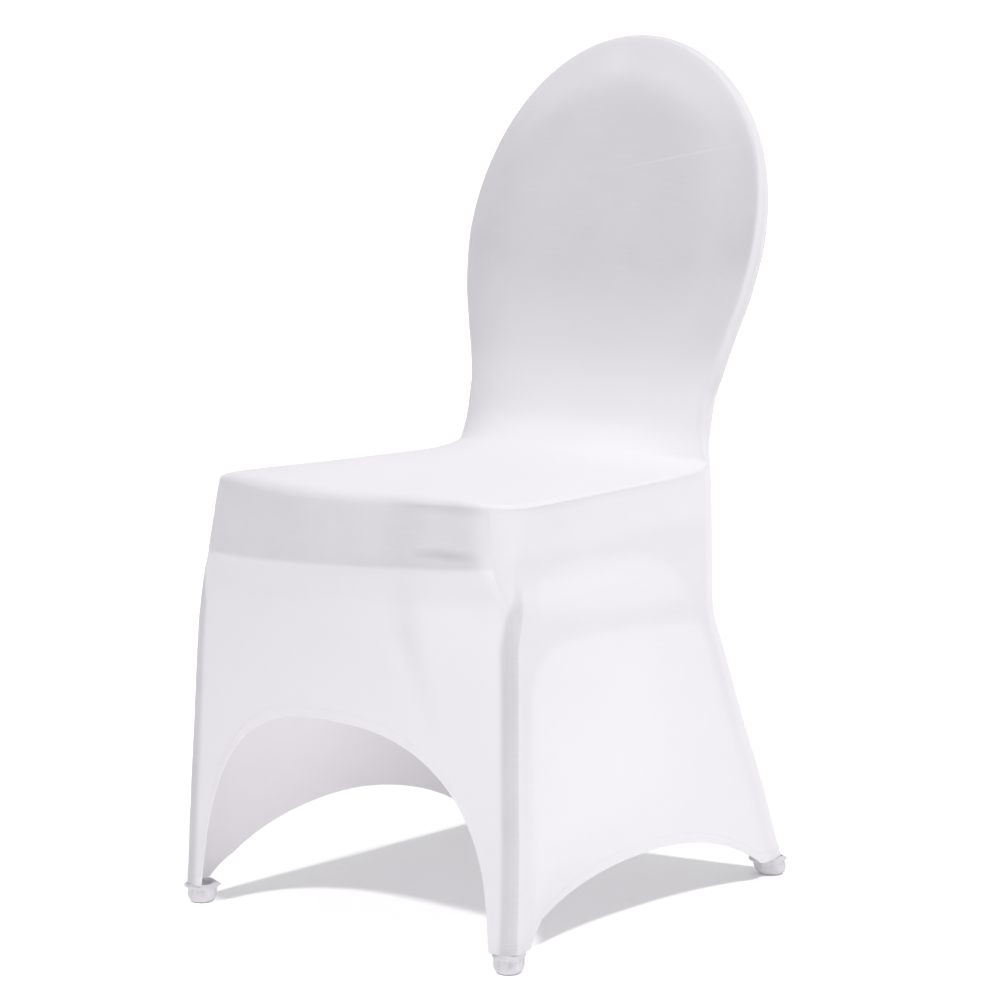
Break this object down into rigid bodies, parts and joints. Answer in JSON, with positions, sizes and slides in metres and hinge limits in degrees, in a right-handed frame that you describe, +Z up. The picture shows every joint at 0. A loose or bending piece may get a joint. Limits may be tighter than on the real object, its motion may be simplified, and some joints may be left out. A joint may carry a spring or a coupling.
{
  "type": "chair cover",
  "caption": "Fitted stretch cloth cover for a round-backed dining chair: oval back, smooth seat, long skirts with arched hems between the legs and a small pocket at each foot.",
  "frame": {"origin": "middle of the base of the bounding box, on the floor", "axes": "+Z up, the front of the seat towards -Y, the sitter's left hand towards +X"},
  "size_m": [0.462, 0.5502, 0.9209],
  "materials": {
    "stretch_cloth": "smooth matt knit",
    "pocket_cloth": "doubled matt knit"
  },
  "bodies": {
    "root": {"front_panel": "stretch_cloth", "rear_panel": "stretch_cloth", "side_panel_right": "stretch_cloth", "side_panel_left": "stretch_cloth", "foot_pocket_front_right": "pocket_cloth", "foot_pocket_front_left": "pocket_cloth", "foot_pocket_rear_right": "pocket_cloth", "foot_pocket_rear_left": "pocket_cloth"}
  },
  "joints": []
}
